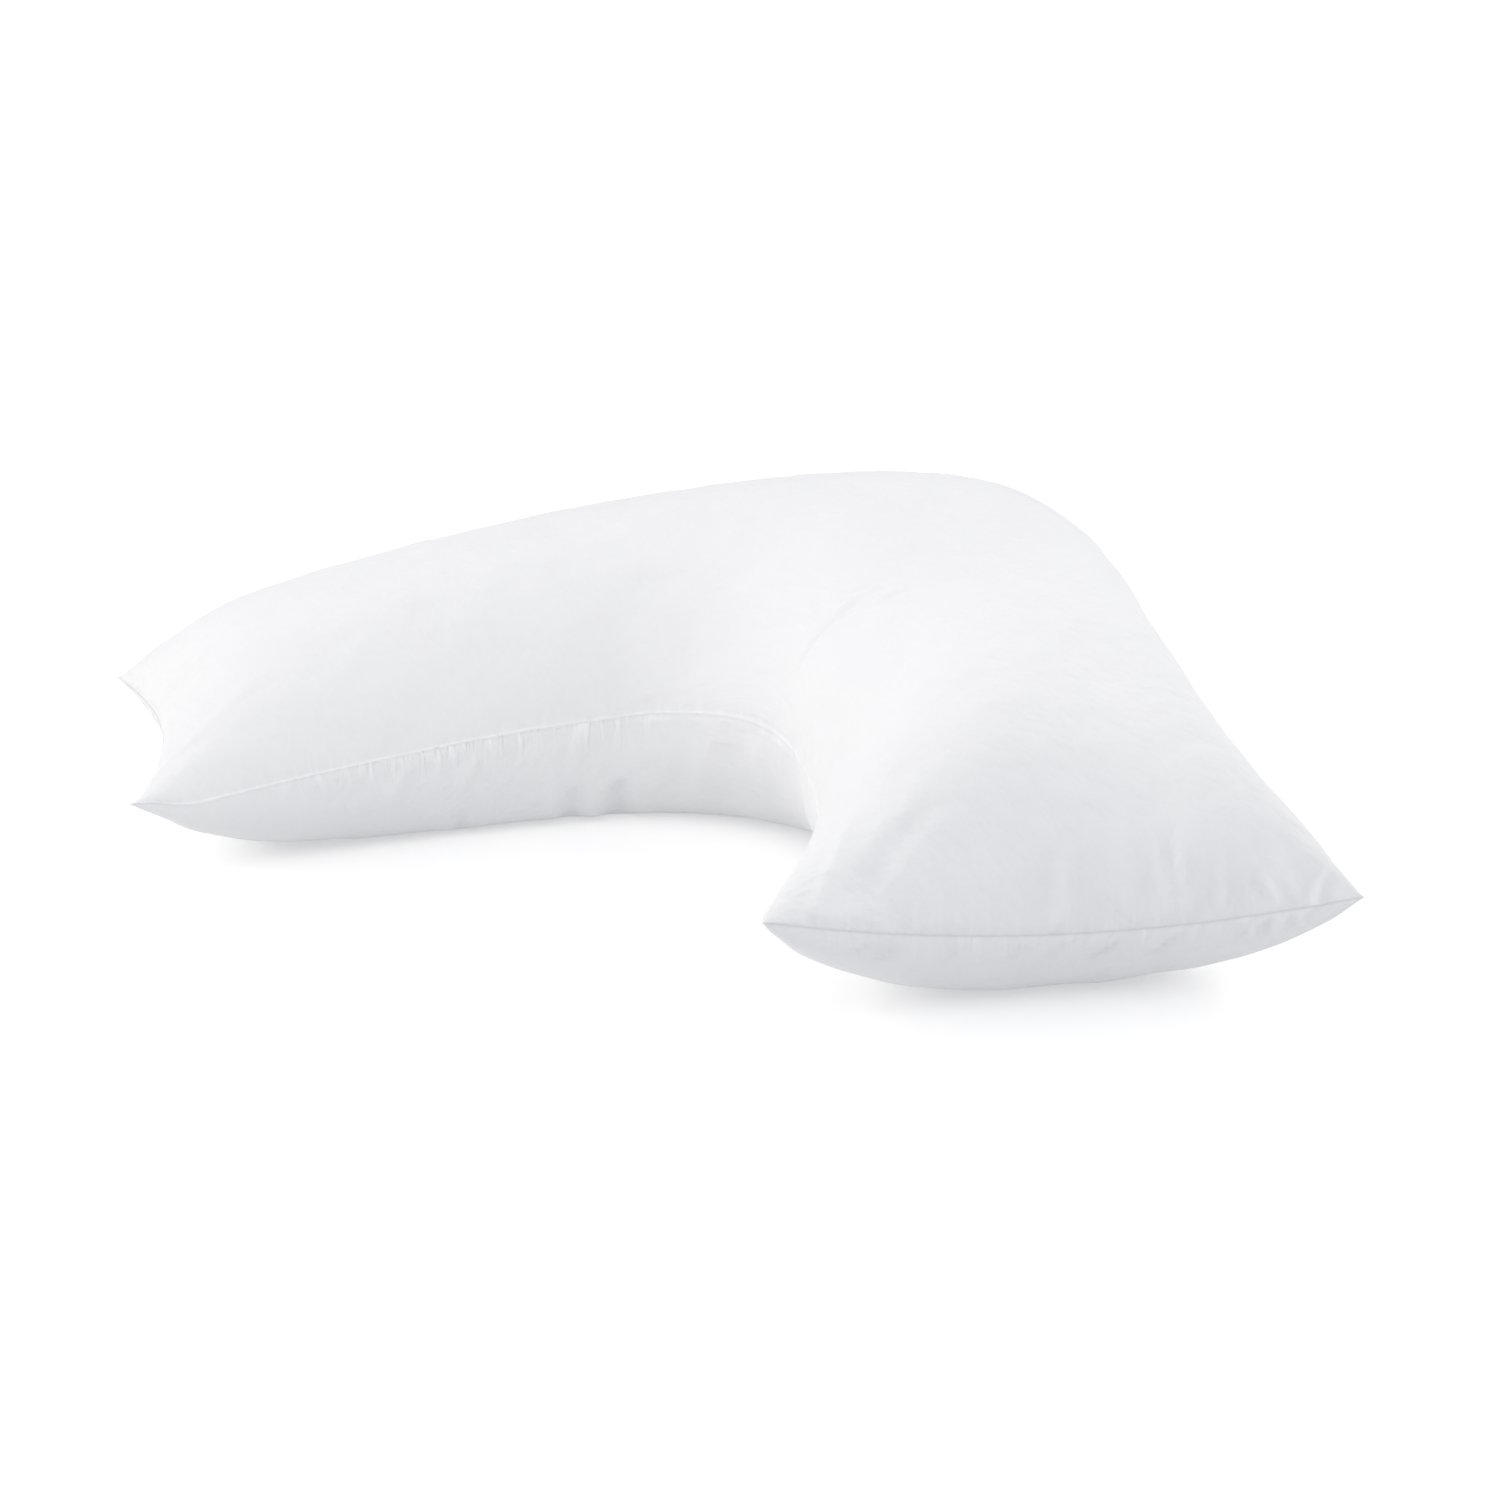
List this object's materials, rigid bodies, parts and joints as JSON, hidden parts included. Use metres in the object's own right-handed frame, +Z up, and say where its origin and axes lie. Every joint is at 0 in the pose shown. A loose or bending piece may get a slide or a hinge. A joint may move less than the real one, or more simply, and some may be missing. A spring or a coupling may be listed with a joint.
{
  "type": "boomerang pillow",
  "caption": "Plump V-shaped bed pillow in plain white cotton, with a round bend, a rounded notch for the neck, and square ends drawn in between pointed corners.",
  "frame": {"origin": "middle of the pillow's footprint, on the surface it lies on, in the open V between the arms", "axes": "+Z up; +Y towards the bend, the arms running to -Y; +X to the right seen from the open side"},
  "size_m": [1.1386, 0.696, 0.2831],
  "materials": {
    "cotton": "plain woven white cotton, matt"
  },
  "bodies": {
    "root": {"pillow": "cotton"}
  },
  "joints": []
}
